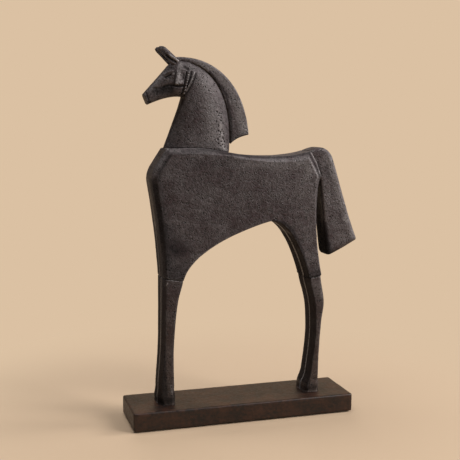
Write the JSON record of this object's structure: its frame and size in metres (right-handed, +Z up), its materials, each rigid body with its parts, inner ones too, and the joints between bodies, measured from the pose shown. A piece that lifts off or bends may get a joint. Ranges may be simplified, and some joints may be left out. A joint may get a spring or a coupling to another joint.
{
  "type": "horse statue",
  "caption": "Stylised standing horse in dark cast metal with a flat bevelled body, crested mane and slab tail, on a rectangular wooden plinth.",
  "frame": {"origin": "middle of the underside of the base liner, the face that the statue rests on", "axes": "+Z up, +X from the horse's chest towards its tail, +Y towards the horse's right side"},
  "size_m": [0.264, 0.07, 0.4073],
  "materials": {
    "cast_metal": "pitted sand casting with a dark brown patina and worn grey edges",
    "stained_wood": "dark stain under satin lacquer",
    "plain_steel": "plain zinc plated",
    "liner_rubber": "matt"
  },
  "bodies": {
    "root": {"base_liner": "liner_rubber", "ear_left": "cast_metal", "ear_right": "cast_metal", "head": "cast_metal", "head_dowel": "plain_steel", "hoof_screw_front_left": "plain_steel", "hoof_screw_front_right": "plain_steel", "hoof_screw_rear_left": "plain_steel", "hoof_screw_rear_right": "plain_steel", "hoof_washer_front_left": "plain_steel", "hoof_washer_front_right": "plain_steel", "hoof_washer_rear_left": "plain_steel", "hoof_washer_rear_right": "plain_steel", "knee_dowel_front_left": "plain_steel", "knee_dowel_front_right": "plain_steel", "knee_dowel_rear_left": "plain_steel", "knee_dowel_rear_right": "plain_steel", "mane": "cast_metal", "mane_pin_lower": "plain_steel", "mane_pin_upper": "plain_steel", "neck": "cast_metal", "neck_dowel_left": "plain_steel", "neck_dowel_right": "plain_steel", "plinth": "stained_wood", "shin_front_left": "cast_metal", "shin_front_right": "cast_metal", "shin_rear_left": "cast_metal", "shin_rear_right": "cast_metal", "tail": "cast_metal", "tail_pin_left": "plain_steel", "tail_pin_right": "plain_steel", "torso_dowel_front": "plain_steel", "torso_dowel_middle": "plain_steel", "torso_dowel_rear": "plain_steel", "torso_left": "cast_metal", "torso_right": "cast_metal"}
  },
  "joints": []
}
